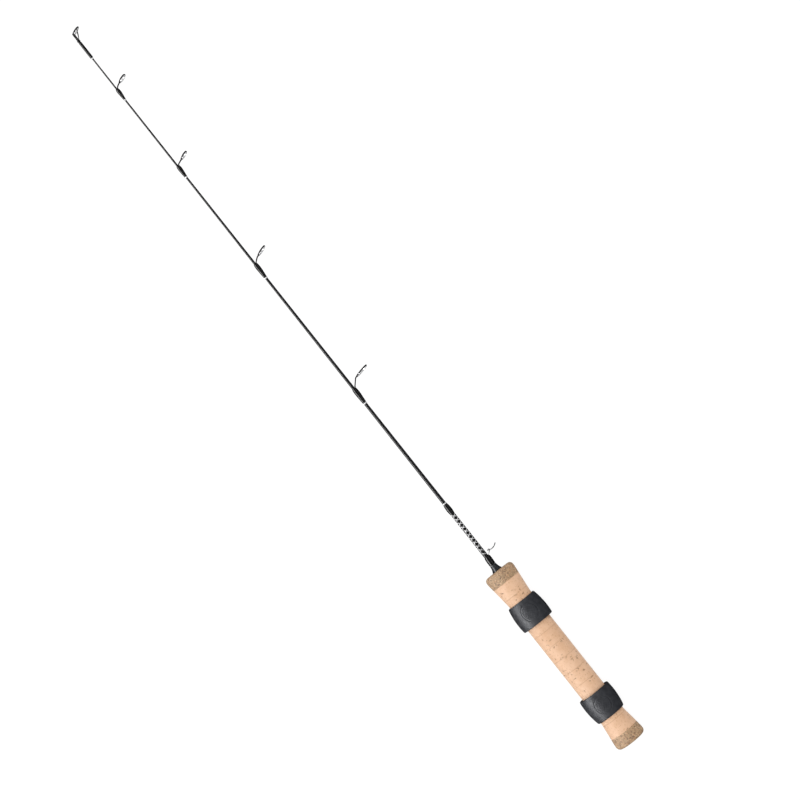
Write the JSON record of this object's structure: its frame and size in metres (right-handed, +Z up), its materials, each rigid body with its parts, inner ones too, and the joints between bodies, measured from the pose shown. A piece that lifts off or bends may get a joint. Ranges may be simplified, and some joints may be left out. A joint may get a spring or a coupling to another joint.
{
  "type": "ice fishing rod",
  "caption": "Short ice fishing rod: tapered blank with single-foot line guides, tip-top and folding hook keeper, and a flared cork grip with two sliding reel rings.",
  "frame": {"origin": "centre of the butt's flat end face, on the blank's centre line", "axes": "+X along the rod from butt to tip, -Y the way the line guides stand out, +Z up with the rod lying on its side"},
  "size_m": [0.7109, 0.0337, 0.028],
  "materials": {
    "carbon": "gloss black carbon blank under clear varnish",
    "black_thread": "black thread winding under clear gloss epoxy",
    "cross_thread": "black winding with a silver diamond cross-wrap under clear gloss epoxy",
    "silver_thread": "silver metallic thread under clear gloss epoxy",
    "black_frame": "black coated steel, semi-gloss",
    "polished_insert": "polished hard insert",
    "steel_wire": "bright steel wire",
    "cork": "sanded natural cork, light tan with dark pits",
    "burl_cork": "sanded burl cork, coarse brown and olive granules",
    "slip_ring_rubber": "satin charcoal rubber",
    "check_rubber": "semi-gloss black rubber"
  },
  "bodies": {
    "rod": {"blank": "carbon", "butt_burl_cap": "burl_cork", "front_burl_cap": "burl_cork", "winding_check": "check_rubber", "hosel_wrap": "black_thread", "cross_wrap": "cross_thread", "fore_wrap": "black_thread", "fore_band": "silver_thread", "keeper_bracket": "steel_wire", "tip_top_tube": "black_frame", "tip_top_frame": "black_frame", "tip_top_insert": "polished_insert", "tip_top_wrap": "black_thread", "tip_top_band": "silver_thread", "cork_disc_01": "cork", "cork_disc_02": "cork", "cork_disc_03": "cork", "cork_disc_04": "cork", "cork_disc_05": "cork", "cork_disc_06": "cork", "cork_disc_07": "cork", "cork_disc_08": "cork", "cork_disc_09": "cork", "cork_disc_10": "cork", "cork_disc_11": "cork", "cork_disc_12": "cork", "guide_1_frame": "black_frame", "guide_1_insert": "polished_insert", "guide_1_wrap": "black_thread", "guide_1_band": "silver_thread", "guide_2_frame": "black_frame", "guide_2_insert": "polished_insert", "guide_2_wrap": "black_thread", "guide_2_band": "silver_thread", "guide_3_frame": "black_frame", "guide_3_insert": "polished_insert", "guide_3_wrap": "black_thread", "guide_3_band": "silver_thread", "guide_4_frame": "black_frame", "guide_4_insert": "polished_insert", "guide_4_wrap": "black_thread", "guide_4_band": "silver_thread"},
    "front_ring": {"front_slip_ring": "slip_ring_rubber"},
    "rear_ring": {"rear_slip_ring": "slip_ring_rubber"},
    "hook_ring": {"keeper_ring": "steel_wire"}
  },
  "joints": [
    {"name": "front_ring_slide", "type": "slide", "parent": "rod", "child": "front_ring", "axis": [-1, 0, 0], "range_m": [0, 0.033]},
    {"name": "rear_ring_slide", "type": "slide", "parent": "rod", "child": "rear_ring", "axis": [1, 0, 0], "range_m": [0, 0.033]},
    {"name": "hook_ring_fold", "type": "hinge", "parent": "rod", "child": "hook_ring", "pos_m": [0.1828, -0.0046, 0], "axis": [0, 0, 1], "range_deg": [-95, 90]}
  ]
}
